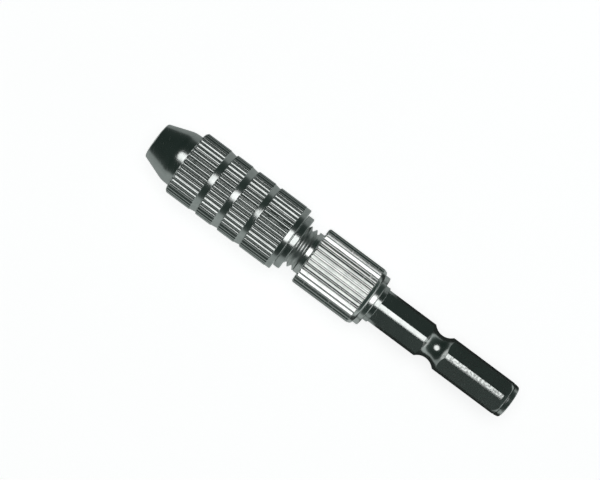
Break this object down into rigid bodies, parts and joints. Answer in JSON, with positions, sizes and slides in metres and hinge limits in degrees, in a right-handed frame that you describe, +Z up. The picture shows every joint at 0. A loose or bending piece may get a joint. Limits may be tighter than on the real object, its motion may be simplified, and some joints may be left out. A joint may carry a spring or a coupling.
{
  "type": "hand drill chuck",
  "caption": "Keyless screw chuck for small twist drills: a knurled, grooved sleeve screws along a threaded stud to shut sprung jaws; knurled collar and hexagon quick-change shank behind.",
  "frame": {"origin": "centre of the flat rear end face of the hexagon shank", "axes": "+X along the tool's axis towards the nose; +Z up, through one corner of the hexagon; two of its flats face +Y and -Y"},
  "size_m": [0.0732, 0.0122, 0.0122],
  "materials": {
    "plated_steel": "bright nickel-chrome plate over turned and knurled steel",
    "shank_steel": "bright plate over a drawn and milled hexagon",
    "jaw_steel": "hardened and ground steel, satin",
    "spring_steel": "drawn spring wire"
  },
  "bodies": {
    "root": {"chuck_body": "plated_steel", "hex_shank": "shank_steel"},
    "feed_ring": {"end_ring": "plated_steel"},
    "sleeve": {"chuck_sleeve": "plated_steel"},
    "jaw_a": {"jaw_1": "jaw_steel", "jaw_spring_1": "spring_steel"},
    "jaw_b": {"jaw_2": "jaw_steel", "jaw_spring_2": "spring_steel"},
    "jaw_c": {"jaw_3": "jaw_steel", "jaw_spring_3": "spring_steel"}
  },
  "joints": [
    {"name": "ring_feed", "type": "slide", "parent": "root", "child": "feed_ring", "axis": [1, 0, 0], "range_m": [-0.00281, 0.00321]},
    {"name": "sleeve_turn", "type": "hinge", "parent": "feed_ring", "child": "sleeve", "pos_m": [0.04695, 0, 0], "axis": [1, 0, 0], "range_deg": [-1008, 1152]},
    {"name": "jaw_1_slide", "type": "slide", "parent": "root", "child": "jaw_a", "axis": [0, 0, 1], "range_m": [-0.00075, 0.00086], "deforming": ["jaw_spring_1"]},
    {"name": "jaw_2_slide", "type": "slide", "parent": "root", "child": "jaw_b", "axis": [0, -0.866, -0.5], "range_m": [-0.00075, 0.00086], "deforming": ["jaw_spring_2"]},
    {"name": "jaw_3_slide", "type": "slide", "parent": "root", "child": "jaw_c", "axis": [0, 0.866, -0.5], "range_m": [-0.00075, 0.00086], "deforming": ["jaw_spring_3"]}
  ],
  "couplings": [
    {"joint": "ring_feed", "follows": "sleeve_turn", "m_per_rad": 0.00015915},
    {"joint": "jaw_1_slide", "follows": "sleeve_turn", "m_per_rad": 0.000042645},
    {"joint": "jaw_2_slide", "follows": "sleeve_turn", "m_per_rad": 0.000042645},
    {"joint": "jaw_3_slide", "follows": "sleeve_turn", "m_per_rad": 0.000042645}
  ]
}
